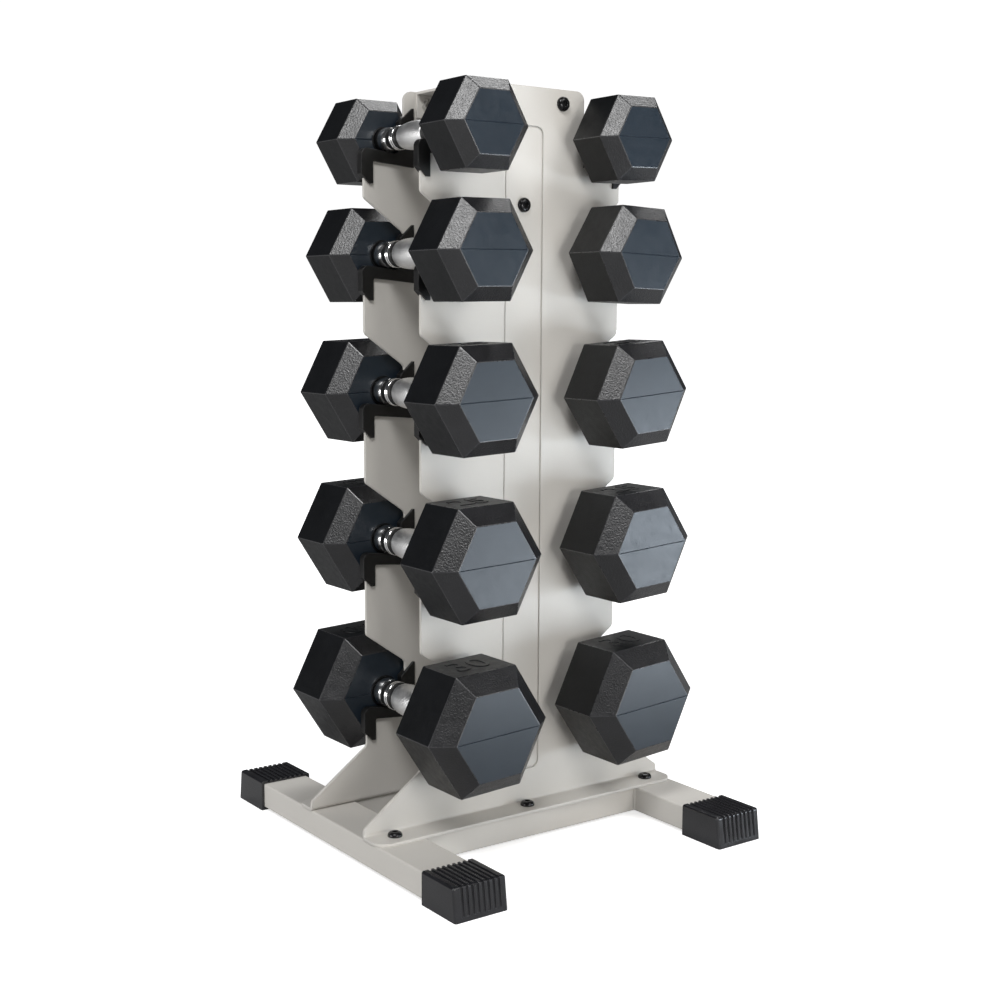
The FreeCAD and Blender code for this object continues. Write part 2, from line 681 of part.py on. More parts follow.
def make_saddle():
    """The front left saddle, with the foot of its leg at Z = 0: a plastic sleeve over the edge
    of a tooth and its notch, with a leg, a sloping seat and an upright finger."""
    body = new_body("saddle_body")
    seat_inner = "Sheet.saddle_seat - (Sheet.tooth_half - Sheet.saddle_wall) * " + SLOPE
    leg_inner = "-(%s - Sheet.saddle_leg)" % SADDLE_OUTER
    web_low = "Sheet.saddle_seat - Sheet.saddle_web"
    web_inner = web_low + " - Sheet.saddle_cover"
    middle = PLATE_OUTER + " - Sheet.plate_thickness / 2"
    sketch = sketch_on(body, "saddle_outline", "XZ_Plane", middle)
    outline(sketch, [
        ("-" + SADDLE_OUTER, "Sheet.saddle_bevel"),
        ("-(%s - Sheet.saddle_bevel)" % SADDLE_OUTER, "0"),
        (leg_inner, "0"),
        (leg_inner, web_low),
        ("-Sheet.saddle_inner", web_inner),
        ("-Sheet.saddle_inner", "Sheet.saddle_tip"),
        ("-(Sheet.saddle_inner + Sheet.saddle_tip_width)", "Sheet.saddle_tip"),
        ("-Sheet.saddle_wall", "Sheet.saddle_tip - Sheet.finger_bevel"),
        ("-Sheet.saddle_wall", seat_inner),
        ("-" + SADDLE_OUTER, "Sheet.saddle_seat"),
    ])
    block = pad(body, "saddle_block", sketch, "Sheet.saddle_thickness", midplane=True)
    outer = -number(SADDLE_OUTER)
    seat = number("Sheet.saddle_seat")
    block = fillet(body, "saddle_shoulder", block, 1, [(outer, seat)], "Sheet.saddle_shoulder")
    nook = [(-number("Sheet.saddle_wall"), number(seat_inner))]
    block = fillet(body, "saddle_nook", block, 1, nook, "Sheet.saddle_nook")
    armpit = [(number(leg_inner), number(web_low))]
    fillet(body, "saddle_armpit", block, 1, armpit, "Sheet.saddle_armpit")

    # the slot that the steel fills; beside the finger it widens to clear the corner above
    sketch = sketch_on(body, "saddle_slot_sketch", "XZ_Plane", middle)
    low = "Sheet.saddle_seat - Sheet.saddle_cover"
    fall = "(Sheet.tooth_half - Sheet.body_half) * " + SLOPE
    outline(sketch, [
        ("-Sheet.tooth_half", "-Sheet.past"),
        ("-Sheet.body_half / 2", "-Sheet.past"),
        ("-Sheet.body_half / 2", "Sheet.saddle_tip + Sheet.past"),
        ("-(Sheet.body_half + Sheet.saddle_relief)", "Sheet.saddle_tip + Sheet.past"),
        ("-Sheet.body_half", "Sheet.saddle_tip - Sheet.finger_bevel"),
        ("-Sheet.body_half", low + " - " + fall),
        ("-Sheet.tooth_half", low),
    ])
    pocket(body, "saddle_slot", sketch, "Sheet.plate_thickness", midplane=True)

    # on the outer side the sleeve only laps the edge of the steel
    sketch = sketch_on(body, "saddle_lip_sketch", "XZ_Plane", middle + " + Sheet.saddle_thickness / 2")
    outline(sketch, [
        ("-Sheet.saddle_lip", web_inner + " - Sheet.past"),
        ("-(Sheet.saddle_inner - Sheet.past)", web_inner + " - Sheet.past"),
        ("-(Sheet.saddle_inner - Sheet.past)", "Sheet.saddle_tip + Sheet.past"),
        ("-Sheet.saddle_lip", "Sheet.saddle_tip + Sheet.past"),
    ])
    pocket(body, "saddle_lip_cut", sketch, "(Sheet.saddle_thickness - Sheet.plate_thickness) / 2")
    return body


# ---------------------------------------------------------------- dumbbells

def chamfered_prism(name, flats, length, near):
    """A hex prism along Y, with chamfered ends, that starts at the distance near behind the
    middle plane. Its flats are level."""
    body = new_body(name)
    sketch = sketch_on(body, name + "_section", "XZ_Plane", "-(%s)" % near)
    hexagon(sketch, flats)
    prism = pad(body, name + "_prism", sketch, length, reverse=True)
    chamfer_ends(body, name + "_chamfer", prism, 1, "Sheet.head_chamfer * (%s)" % flats)
    return body


def make_heads(tier):
    """A tier's rear head, as its rubber skin and its iron core, about the handle's axis."""
    flats = "Sheet.flats_%d" % tier
    length = "Sheet.head_length_%d" % tier
    gap = "Sheet.head_gap_%d" % tier
    outside = chamfered_prism("head_block_%d" % tier, flats, length, gap)
    inside = chamfered_prism("core_block_%d" % tier, flats + " - 2 * Sheet.skin",
                             length + " - 2 * Sheet.skin", gap + " + Sheet.skin")
    bore = doc.addObject("Part::Cylinder", "head_bore_%d" % tier)
    bore.setExpression("Radius", "Sheet.neck_%d" % tier)
    bore.setExpression("Height", gap + " + %s / 2" % length)
    bore.Placement = FreeCAD.Placement(FreeCAD.Vector(), FreeCAD.Rotation(FreeCAD.Vector(1, 0, 0), -90))
    doc.recompute()
    core = cut("core_%d" % tier, inside, bore)
    hollow = cut("skin_hollow_%d" % tier, outside, inside)
    skin = cut("skin_%d" % tier, hollow, bore)
    return skin, core


def make_handle(tier):
    """A tier's handle: a bulged grip between two rings, and a neck that runs into each head."""
    body = new_body("handle_body_%d" % tier)
    neck = "Sheet.neck_%d" % tier
    end = "(Sheet.head_gap_%d + Sheet.head_length_%d / 2)" % (tier, tier)
    groove = neck + " - Sheet.groove_deep"
    steps = [
        (neck, end),
        (neck, "Sheet.neck_start"),
        (groove, "Sheet.neck_start"),
        (groove, "Sheet.ring_outer"),
        (neck, "Sheet.ring_outer"),
        (neck, "Sheet.ring_inner"),
        (groove, "Sheet.ring_inner"),
        (groove, "Sheet.grip_half"),
        (neck, "Sheet.grip_half"),
        (neck + " + Sheet.grip_bulge * 0.75", "Sheet.grip_half / 2"),
    ]
    middle = [(neck + " + Sheet.grip_bulge", "0")]
    below = [(radius, "-" + along) for radius, along in reversed(steps)]
    sketch = sketch_on(body, "handle_profile_%d" % tier, "XY_Plane")
    outline(sketch, [("0", end)] + steps + middle + below + [("0", "-" + end)])
    turned = body.newObject("PartDesign::Revolution", "handle_turned_%d" % tier)
    turned.Profile = sketch
    turned.ReferenceAxis = (sketch, ["V_Axis"])
    turned.Angle = 360.0
    doc.recompute()
    return body


def handle_place(tier):
    """Where a tier's handle lies: its distance from the middle of the rack, and its height.
    It rests in the corner between the saddle's seat and finger, a hair clear of both."""
    reach = "(Sheet.neck_%d + Sheet.seat_clearance)" % tier
    across = "(Sheet.saddle_wall + %s)" % reach
    rise = "Sheet.saddle_seat - (Sheet.tooth_half - %s) * %s" % (across, SLOPE)
    up = "Sheet.saddle_low_%d + %s + %s / cos(Sheet.saddle_slope * 1 deg)" % (tier, rise, reach)
    return across, up


def lay(name, members, tier, side):
    """One side's copy of a tier's pieces, put on the saddles and turned as it lies."""
    item = group(name, members)
    across, up = handle_place(tier)
    angle = number("Sheet.turn_%s_%d" % (side, tier))
    turn = FreeCAD.Rotation(FreeCAD.Vector(0, 1, 0), -angle)
    item.Placement = FreeCAD.Placement(FreeCAD.Vector(), turn)
    item.setExpression("Placement.Base.x", ("-" if side == "left" else "") + across)
    item.setExpression("Placement.Base.y", ("-" if side == "left" else "") + "Sheet.slide_%d" % tier)
    item.setExpression("Placement.Base.z", up)
    doc.recompute()
    keep(name, item)


# ---------------------------------------------------------------- the assembly

upright = make_upright()
keep("front_upright", upright)
keep("rear_upright", mirror("rear_upright_copy", upright, FRONT_TO_REAR))

foot_tube = make_foot_tube()
keep("left_foot_tube", foot_tube)
keep("right_foot_tube", mirror("right_foot_tube_copy", foot_tube, LEFT_TO_RIGHT))
crossbar = make_crossbar()
keep("front_crossbar", crossbar)
keep("rear_crossbar", mirror("rear_crossbar_copy", crossbar, FRONT_TO_REAR))
cap = make_cap()
keep("front_left_cap", cap)
keep("front_right_cap", mirror("front_right_cap_copy", cap, LEFT_TO_RIGHT))
rear_cap = mirror("rear_left_cap_copy", cap, FRONT_TO_REAR)
keep("rear_left_cap", rear_cap)
keep("rear_right_cap", mirror("rear_right_cap_copy", rear_cap, LEFT_TO_RIGHT))

keep("top_spacer", make_top_spacer())
keep("centre_spacer", make_centre_spacer())

bolt = make_bolt()
nut = make_nut()
TOP_BOLTS = [("-Sheet.bolt_side", "Sheet.bolt_top", PLATE_OUTER),
             ("Sheet.bolt_side", "Sheet.bolt_top", PLATE_OUTER)]
CENTRE_BOLT = [("0", "Sheet.bolt_centre", STRIP_FACE)]
NUT_FACE = "(%s - Sheet.channel_wall)" % PLATE_INNER
TOP_NUTS = [(across, level, NUT_FACE) for across, level, depth in TOP_BOLTS]
keep("flange_bolts", fastener_rows("flange_bolt_group", bolt, FLANGE_TOP))
keep("flange_nuts", fastener_rows("flange_nut_group", nut, TUBE_TOP + " - Sheet.tube_wall"))
keep("upright_bolts", fastener_faces("upright_bolt_group", bolt, TOP_BOLTS + CENTRE_BOLT))
keep("upright_nuts", fastener_faces("upright_nut_group", nut, TOP_NUTS))

saddle = make_saddle()
saddle_pair = [saddle, mirror("rear_saddle", saddle, FRONT_TO_REAR)]
right_pair = [mirror("right_%s" % item.Name, item, LEFT_TO_RIGHT) for item in saddle_pair]
for tier in TIERS:
    for side, pair in (("left", saddle_pair), ("right", right_pair)):
        item = group("saddles_%s_%d" % (side, tier), pair)
        item.setExpression("Placement.Base.z", "Sheet.saddle_low_%d" % tier)
        keep("saddles_%s_%d" % (side, tier), item)

for tier in TIERS:
    skin, core = make_heads(tier)
    skins = [skin, mirror("front_skin_%d" % tier, skin, FRONT_TO_REAR)]
    cores = [core, mirror("front_core_%d" % tier, core, FRONT_TO_REAR)]
    handle = [make_handle(tier)]
    for side in ("left", "right"):
        lay("heads_%s_%d" % (side, tier), skins, tier, side)
        lay("cores_%s_%d" % (side, tier), cores, tier, side)
        lay("handle_%s_%d" % (side, tier), handle, tier, side)

doc.recompute()
for item in doc.Objects:
    if "Invalid" in item.State or "Error" in item.State:
        raise SystemExit("%s did not build" % item.Name)
for item in nodes:
    if item.Shape.isNull() or not item.Shape.isValid() or item.Shape.Volume <= 0:
        raise SystemExit("%s has no valid shape" % item.Label)

os.makedirs("parts", exist_ok=True)
for item in nodes:
    item.Shape.exportStep("parts/%s.step" % item.Label)
    print("%-18s %2d solids %10.0f mm3" % (item.Label, len(item.Shape.Solids), item.Shape.Volume))
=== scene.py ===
"""The looks of the dumbbell rack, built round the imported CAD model. Lengths are in metres."""

import math

import bmesh
import bpy
from mathutils import Matrix, Vector


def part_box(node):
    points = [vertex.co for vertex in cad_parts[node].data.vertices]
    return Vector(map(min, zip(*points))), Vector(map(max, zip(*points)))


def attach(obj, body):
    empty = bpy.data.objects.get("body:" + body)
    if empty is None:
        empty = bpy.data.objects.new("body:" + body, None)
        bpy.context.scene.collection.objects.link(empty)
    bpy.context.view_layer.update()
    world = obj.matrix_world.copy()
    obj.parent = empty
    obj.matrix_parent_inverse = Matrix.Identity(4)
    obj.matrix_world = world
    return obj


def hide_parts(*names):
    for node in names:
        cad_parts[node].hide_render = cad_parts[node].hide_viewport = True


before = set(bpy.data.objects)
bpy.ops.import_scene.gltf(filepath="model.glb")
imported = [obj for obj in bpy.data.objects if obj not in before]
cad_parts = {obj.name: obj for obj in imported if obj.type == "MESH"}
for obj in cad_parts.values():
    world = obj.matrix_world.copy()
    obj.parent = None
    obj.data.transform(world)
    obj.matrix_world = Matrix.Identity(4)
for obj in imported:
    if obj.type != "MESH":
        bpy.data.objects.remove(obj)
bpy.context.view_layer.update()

MM = 0.001
SIDES = ("left", "right")
TIERS = (1, 2, 3, 4, 5)

# dumbbell sizes, tier by tier, as in the CAD source
FLATS = {1: 79.0, 2: 91.0, 3: 99.5, 4: 106.0, 5: 115.0}
HEAD_LENGTH = {1: 63.5, 2: 73.0, 3: 79.5, 4: 83.5, 5: 88.0}
HEAD_GAP = {1: 61.0, 2: 58.0, 3: 57.0, 4: 56.0, 5: 55.5}
NECK = {1: 11.5, 2: 13.0, 3: 13.5, 4: 14.0, 5: 14.5}
TURN = {
    "left": {1: 0.5, 2: 1.0, 3: 2.5, 4: 2.5, 5: 3.0},
    "right": {1: 1.5, 2: -2.0, 3: 4.5, 4: 4.0, 5: 4.0},
}
NUMERAL = {1: "10", 2: "15", 3: "20", 4: "25", 5: "30"}
CHAMFER_SHARE = 0.145

# detail of the heads
EDGE_ROUND = 0.55 * MM
PARTING_HALF = 0.45 * MM
PARTING_DEEP = 0.5 * MM
PARTING_TAPER = 2.5 * MM
COLLAR_WIDTH = 1.5 * MM
COLLAR_OUT = 0.9 * MM
NUMERAL_SHARE = 0.36
NUMERAL_RAISE = 0.5 * MM
NUMERAL_EDGE = 0.15 * MM
COLLAR_STEPS = 48

# detail of the handles, as distances from the middle of the grip
GRIP_HALF = 20.5 * MM
GRIP_BULGE = 2.0 * MM
RING_INNER = 28.0 * MM
RING_OUTER = 34.0 * MM
NECK_START = 41.5 * MM
NECK_FULL = 48.0 * MM
NECK_TAPER = 1.3 * MM
GROOVE_DEEP = 1.5 * MM
GROOVE_WALL = 0.2 * MM
RING_EDGE = 0.5 * MM
RING_ROUND = 0.8 * MM
RING_LINE_HALF = 0.3 * MM
RING_LINE_DEEP = 0.7 * MM
RING_LINE_REACH = 1.0 * MM
NECK_EDGE = 0.4 * MM
NECK_FLARE = 3.0 * MM
NECK_FLARE_SHARE = 0.35
HANDLE_SUNK = 4.0 * MM
KNURL_AROUND = 46
KNURL_STEPS = 4
KNURL_DEEP = 0.34 * MM
KNURL_SHOULDER = 2.2 * MM
KNURL_SHOULDER_DROP = 0.9 * MM

# base
FOOT_INNER = 130.0 * MM
CROSSBAR_FACES = (51.5 * MM, 76.5 * MM)
TUBE_LOW = 3.0 * MM
TUBE_TOP = 28.0 * MM
BEAD_RADIUS = 2.1 * MM
BEAD_RIPPLE = 0.35 * MM
BEAD_MARGIN = 1.2 * MM
BEAD_END_SHARE = 0.55
BEAD_STEPS = 30
BEAD_SIDES = 12

# which material of a head or handle a face has
HEAD_FACE, HEAD_BAND, HEAD_SIDE, HEAD_EDGE = range(4)
SMOOTH, KNURL, DARK = range(3)

# the least Y part of the normal of a head's end, of its chamfers, and of the flat of an end,
# which a parting groove splits
END_LEAN = 0.95
BAND_LEAN = 0.3
FLAT_LEAN = 0.999

# camera and lights
CAMERA_AZIMUTH = math.radians(-35.85)
CAMERA_PITCH = math.radians(-7.21)
CAMERA_ROLL = math.radians(0.29)
CAMERA_PLACE = (-0.8684, -1.2104, 0.5191)
CAMERA_LENS = 53.78
CAMERA_SENSOR = 36.0
CAMERA_SHIFT = (0.0037, -0.0005)
WHITE = (1.0, 1.0, 1.0)
WARM = (1.0, 0.985, 0.96)
COOL = (0.82, 0.91, 1.0)
MILDLY_COOL = (0.84, 0.92, 1.0)
RACK_MIDDLE = (0.0, 0.0, 0.37)
FILL_COLOUR = (0.93, 0.96, 1.0)
FILL_STRENGTH = 0.05
BACKDROP_STRENGTH = 1.05
FLOOR_SIZE = 30.0


# ---------------------------------------------------------------- materials

class Shader:
    """A material under construction: its nodes, and short ways to add the usual ones."""

    def __init__(self, name):
        self.material = bpy.data.materials.new(name)
        self.material.use_nodes = True
        self.nodes = self.material.node_tree.nodes
        self.links = self.material.node_tree.links
        self.surface = self.nodes["Principled BSDF"]
        self.place = self.nodes.new("ShaderNodeTexCoord").outputs["Object"]

    def set(self, socket, value):
        self.surface.inputs[socket].default_value = value

    def join(self, out, socket):
        self.links.new(out, self.surface.inputs[socket])

    def noise(self, scale, detail=3.0, roughness=0.55, stretch=None):
        """A noise pattern with scale features a metre."""
        place = self.place
        if stretch:
            mapping = self.nodes.new("ShaderNodeMapping")
            mapping.inputs["Scale"].default_value = stretch
            self.links.new(place, mapping.inputs["Vector"])
            place = mapping.outputs["Vector"]
        node = self.nodes.new("ShaderNodeTexNoise")
        node.inputs["Scale"].default_value = scale
        node.inputs["Detail"].default_value = detail
        node.inputs["Roughness"].default_value = roughness
        self.links.new(place, node.inputs["Vector"])
        return node.outputs["Fac"]

    def spread(self, source, low, high, start=0.3, end=0.7):
        """source mapped from start..end to low..high."""
        node = self.nodes.new("ShaderNodeMapRange")
        node.inputs["From Min"].default_value = start
        node.inputs["From Max"].default_value = end
        node.inputs["To Min"].default_value = low
        node.inputs["To Max"].default_value = high
        self.links.new(source, node.inputs["Value"])
        return node.outputs["Result"]

    def blend(self, share, first, second):
        """The colour first where share is 0, second where it is 1; either may be an output."""
        node = self.nodes.new("ShaderNodeMix")
        node.data_type = "RGBA"
        self.links.new(share, node.inputs["Factor"])
        for value, socket in ((first, node.inputs[6]), (second, node.inputs[7])):
            if isinstance(value, bpy.types.NodeSocket):
                self.links.new(value, socket)
            else:
                socket.default_value = (*value, 1.0)
        return node.outputs[2]

    def bump(self, height, strength, depth, normal=None):
        node = self.nodes.new("ShaderNodeBump")
        node.inputs["Strength"].default_value = strength
        node.inputs["Distance"].default_value = depth
        self.links.new(height, node.inputs["Height"])
        if normal:
            self.links.new(normal, node.inputs["Normal"])
        return node.outputs["Normal"]

    def soft_edges(self, radius):
        """A normal that is rounded near edges, and how near an edge a point is, 0 to 1."""
        bevel = self.nodes.new("ShaderNodeBevel")
        bevel.samples = 4
        bevel.inputs["Radius"].default_value = radius
        flat = self.nodes.new("ShaderNodeNewGeometry").outputs["Normal"]
        dot = self.nodes.new("ShaderNodeVectorMath")
        dot.operation = "DOT_PRODUCT"
        self.links.new(bevel.outputs["Normal"], dot.inputs[0])
        self.links.new(flat, dot.inputs[1])
        near = self.spread(dot.outputs["Value"], 1.0, 0.0, 0.80, 0.995)
        return bevel.outputs["Normal"], near


def powder_coat():
    """Satin beige powder coat, with a fine orange peel and lighter edges: partly wear, partly a
    painted highlight.
    """
    s = Shader("powder_coat")
    rounded, near = s.soft_edges(1.6 * MM)
    cloud = s.spread(s.noise(7.0), 0.0, 1.0)
    tone = s.blend(cloud, (0.600, 0.578, 0.540), (0.640, 0.618, 0.580))
    speck = s.spread(s.noise(1400.0, detail=1.0), 0.0, 0.16, 0.55, 0.75)
    tone = s.blend(speck, tone, (0.46, 0.44, 0.41))
    # edges mixed lighter: partly wear, partly a painted highlight
    wear_and_edge_highlight = s.spread(near, 0.0, 0.35, 0.0, 1.0)
    s.join(s.blend(wear_and_edge_highlight, tone, (0.72, 0.70, 0.67)), "Base Color")
    s.join(s.spread(s.noise(25.0), 0.40, 0.52), "Roughness")
    s.join(s.bump(s.noise(520.0, detail=2.0), 0.12, 0.35 * MM, rounded), "Normal")
    return s.material


def cap_plastic():
    """Ribbed black plastic, satin, with lighter edges: partly scuffs, partly a painted highlight.
    """
    s = Shader("cap_plastic")
    s.set("Specular IOR Level", 0.75)
    rounded, near = s.soft_edges(0.8 * MM)
    tone = s.blend(s.spread(s.noise(30.0), 0.0, 1.0), (0.011, 0.011, 0.013), (0.018, 0.018, 0.021))
    # edges mixed lighter: partly scuffs, partly a painted highlight
    wear_and_edge_highlight = s.spread(near, 0.0, 0.5, 0.0, 1.0)
    s.join(s.blend(wear_and_edge_highlight, tone, (0.09, 0.09, 0.10)), "Base Color")
    s.join(s.spread(s.noise(120.0), 0.17, 0.26), "Roughness")
    s.join(s.bump(s.noise(1300.0), 0.15, 0.2 * MM, rounded), "Normal")
    return s.material


def saddle_plastic():
    """Glossy black moulded plastic with soft edges."""
    s = Shader("saddle_plastic")
    rounded, near = s.soft_edges(1.0 * MM)
    tone = s.blend(s.spread(s.noise(40.0), 0.0, 1.0), (0.004, 0.004, 0.004), (0.008, 0.008, 0.008))
    # edges mixed lighter: partly wear, partly a painted highlight
    wear_and_edge_highlight = s.spread(near, 0.0, 0.5, 0.0, 1.0)
    s.join(s.blend(wear_and_edge_highlight, tone, (0.05, 0.05, 0.052)), "Base Color")
    s.join(s.spread(s.noise(90.0), 0.30, 0.42), "Roughness")
    s.join(s.bump(s.noise(900.0), 0.10, 0.2 * MM, rounded), "Normal")
    return s.material


def rubber(name, dark, light, scuffed, roughness, shine, grain, grain_scale):
    """Moulded rubber: dark, light and scuffed are its colours, grain its texture's depth in mm."""
    s = Shader(name)
    s.set("Specular IOR Level", shine)
    cloud = s.spread(s.noise(28.0), 0.0, 1.0)
    tone = s.blend(cloud, dark, light)
    scuff = s.spread(s.noise(60.0, stretch=(1.0, 1.0, 9.0)), 0.0, 0.22, 0.58, 0.78)
    tone = s.blend(scuff, tone, scuffed)
    s.join(tone, "Base Color")
    s.join(s.spread(s.noise(140.0), roughness - 0.04, roughness + 0.05), "Roughness")
    s.join(s.bump(s.noise(grain_scale, detail=2.0), 1.0, grain * MM), "Normal")
    return s.material


def black_steel():
    """Black oxide steel with an oily sheen."""
    s = Shader("black_steel")
    rounded, near = s.soft_edges(0.4 * MM)
    # edges mixed lighter: a painted highlight
    tone = s.blend(s.spread(near, 0.0, 0.6, 0.0, 1.0), (0.016, 0.016, 0.017), (0.10, 0.10, 0.10))
    s.join(tone, "Base Color")
    s.set("Metallic", 0.45)
    s.join(s.spread(s.noise(300.0), 0.10, 0.20), "Roughness")
    s.join(s.bump(s.noise(1500.0), 0.08, 0.1 * MM, rounded), "Normal")
    return s.material


def plated_steel():
    """Dull zinc plate with a mottled bloom."""
    s = Shader("plated_steel")
    bloom = s.spread(s.noise(180.0, detail=5.0), 0.0, 1.0)
    s.join(s.blend(bloom, (0.50, 0.50, 0.48), (0.64, 0.64, 0.63)), "Base Color")
    s.set("Metallic", 1.0)
    s.join(s.spread(s.noise(260.0), 0.30, 0.45), "Roughness")
    s.join(s.bump(s.noise(900.0), 0.1, 0.1 * MM), "Normal")
    return s.material


def core_iron():
    """Rough cast iron."""
    s = Shader("core_iron")
    cloud = s.spread(s.noise(90.0), 0.0, 1.0)
    s.join(s.blend(cloud, (0.05, 0.05, 0.05), (0.09, 0.088, 0.085)), "Base Color")
    s.set("Metallic", 0.7)
    s.join(s.spread(s.noise(200.0), 0.55, 0.75), "Roughness")
    s.join(s.bump(s.noise(700.0), 0.4, 0.4 * MM), "Normal")
    return s.material


def chrome(name, low, high):
    """Chrome plate with faint smudges; low and high bound its roughness."""
    s = Shader(name)
    smudge = s.spread(s.noise(110.0, detail=4.0), 0.0, 1.0)
    s.join(s.blend(smudge, (0.95, 0.95, 0.95), (0.86, 0.855, 0.85)), "Base Color")
    s.set("Metallic", 1.0)
    s.join(s.spread(s.noise(160.0), low, high), "Roughness")
    s.join(s.bump(s.noise(1200.0), 0.03, 0.1 * MM), "Normal")
    return s.material


def groove_black():
    """The dark, dusty bottom of the grooves turned into the handles."""
    s = Shader("groove_black")
    dust = s.spread(s.noise(500.0), 0.0, 1.0)
    s.join(s.blend(dust, (0.010, 0.010, 0.010), (0.03, 0.03, 0.03)), "Base Color")
    s.set("Metallic", 0.3)
    s.join(s.spread(s.noise(400.0), 0.35, 0.55), "Roughness")
    s.join(s.bump(s.noise(1500.0), 0.1, 0.1 * MM), "Normal")
    return s.material


COAT = powder_coat()
CAP = cap_plastic()
SADDLE = saddle_plastic()
BLACK_STEEL = black_steel()
PLATED = plated_steel()
IRON = core_iron()
CHROME = chrome("chrome_smooth", 0.14, 0.22)
KNURLED = chrome("chrome_knurled", 0.34, 0.48)
GROOVE = groove_black()
# the ends' rubber is black with a lighter blue-grey tint than band and sides: the tint is a
# painted reflection
RUBBER_FACE_REFLECTION_TINTED = rubber(
    "rubber_face_painted_reflection",
    dark=(0.010, 0.017, 0.026),
    light=(0.013, 0.021, 0.031),
    scuffed=(0.022, 0.030, 0.038),
    roughness=0.34,
    shine=0.55,
    grain=0.02,
    grain_scale=900.0,
)
RUBBER_BAND = rubber(
    "rubber_band",
    dark=(0.005, 0.005, 0.006),
    light=(0.011, 0.011, 0.013),
    scuffed=(0.024, 0.024, 0.026),
    roughness=0.34,
    shine=0.75,
    grain=0.36,
    grain_scale=620.0,
)
RUBBER_SIDE = rubber(
    "rubber_side",
    dark=(0.0028, 0.0033, 0.0042),
    light=(0.0055, 0.0062, 0.0075),
    scuffed=(0.012, 0.013, 0.014),
    roughness=0.42,
    shine=0.30,
    grain=0.12,
    grain_scale=620.0,
)
# rubber for the heads' bevelled edges, coloured lighter than the band: a painted highlight on the
# edges
RUBBER_EDGE_HIGHLIGHT = rubber(
    "rubber_edge_painted_highlight",
    dark=(0.016, 0.016, 0.018),
    light=(0.034, 0.034, 0.037),
    scuffed=(0.050, 0.050, 0.052),
    roughness=0.28,
    shine=0.80,
    grain=0.02,
    grain_scale=700.0,
)
HEAD_MATERIALS = (RUBBER_FACE_REFLECTION_TINTED, RUBBER_BAND, RUBBER_SIDE, RUBBER_EDGE_HIGHLIGHT)

CAD_MATERIALS = {
    "front_upright": COAT,
    "rear_upright": COAT,
    "left_foot_tube": COAT,
    "right_foot_tube": COAT,
    "front_crossbar": COAT,
    "rear_crossbar": COAT,
    "top_spacer": COAT,
    "centre_spacer": PLATED,
    "flange_bolts": BLACK_STEEL,
    "upright_bolts": BLACK_STEEL,
    "flange_nuts": PLATED,
    "upright_nuts": PLATED,
}


def cad_material(node):
    """The material of a CAD node, by its name."""
    if node in CAD_MATERIALS:
        return CAD_MATERIALS[node]
    if node.endswith("_cap"):
        return CAP
    if node.startswith("saddles_"):
        return SADDLE
    return IRON


def dress_cad_nodes():
    """Gives each CAD node its material."""
    for name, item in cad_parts.items():
        material = cad_material(name)
        if not item.material_slots:
            item.data.materials.append(material)
        for holder in item.material_slots:
            holder.material = material


# ---------------------------------------------------------------- pieces

def finish_piece(name, mesh, materials, body, nodes=()):
    """An object from a bmesh, which rides on a body and stands for CAD nodes."""
    data = bpy.data.meshes.new(name)
    mesh.to_mesh(data)
    mesh.free()
    for material in materials:
        data.materials.append(material)
    item = bpy.data.objects.new(name, data)
    bpy.context.scene.collection.objects.link(item)
    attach(item, body)
    if nodes:
        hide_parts(*nodes)


def hexagon(radius, along, facing):
    """The corners of a hexagon across the Y axis, with flats at its top and bottom."""
    corners = []
    for k in range(6):
        turn = math.radians(60 * k)
        corners.append(Vector((radius * math.cos(turn), facing * along, radius * math.sin(turn))))
    return corners


def head_blank(mesh, flats, inner, outer, facing):
    """A hexagonal prism from inner to outer, chamfered at both ends; gives its rounded edges."""
    chamfer = CHAMFER_SHARE * flats
    wide = flats / math.sqrt(3)
    narrow = (flats - 2 * chamfer) / math.sqrt(3)
    stations = [(narrow, inner), (wide, inner + chamfer), (wide, outer - chamfer), (narrow, outer)]
    rings = []
    for radius, along in stations:
        rings.append([mesh.verts.new(corner) for corner in hexagon(radius, along, facing)])
    for near, far in zip(rings, rings[1:]):
        for k in range(6):
            mesh.faces.new((near[k], near[(k + 1) % 6], far[(k + 1) % 6], far[k]))
    mesh.faces.new(rings[0])
    mesh.faces.new(rings[-1])
    bmesh.ops.recalc_face_normals(mesh, faces=mesh.faces)
    edges = list(mesh.edges)
    rounded = bmesh.ops.bevel(
        mesh, geom=edges, offset=EDGE_ROUND, segments=2, profile=0.5, affect="EDGES")
    return set(rounded["faces"])


def part_end(mesh, face):
    """Splits a hexagonal end face by a groove through its left and right corners."""
    normal = face.normal.copy()
    corners = [corner.co.copy() for corner in face.verts]
    verts = list(face.verts)
    right = max(range(6), key=lambda k: corners[k].x)
    ring = [verts[(right + k) % 6] for k in range(6)]
    left = 3
    material = face.material_index
    mesh.faces.remove(face)
    along = corners[right].y
    level = ring[0].co.z
    reach = ring[0].co.x - PARTING_TAPER
    sink = -normal * PARTING_DEEP
    side_z = 1 if ring[1].co.z > level else -1
    rail = {}
    for z in (1, -1):
        for x in (1, -1):
            rail[x, z] = mesh.verts.new((x * reach, along, level + z * PARTING_HALF))
    floor = {x: mesh.verts.new(Vector((x * reach, along, level)) + sink) for x in (1, -1)}
    made = [
        (ring[0], ring[1], ring[2], ring[left], rail[-1, side_z], rail[1, side_z]),
        (ring[left], ring[4], ring[5], ring[0], rail[1, -side_z], rail[-1, -side_z]),
        (rail[1, side_z], rail[-1, side_z], floor[-1], floor[1]),
        (rail[-1, -side_z], rail[1, -side_z], floor[1], floor[-1]),
        (ring[0], rail[1, side_z], floor[1]),
        (rail[1, -side_z], ring[0], floor[1]),
        (rail[-1, side_z], ring[left], floor[-1]),
        (ring[left], rail[-1, -side_z], floor[-1]),
    ]
    for loop in made:
        mesh.faces.new(loop).material_index = material


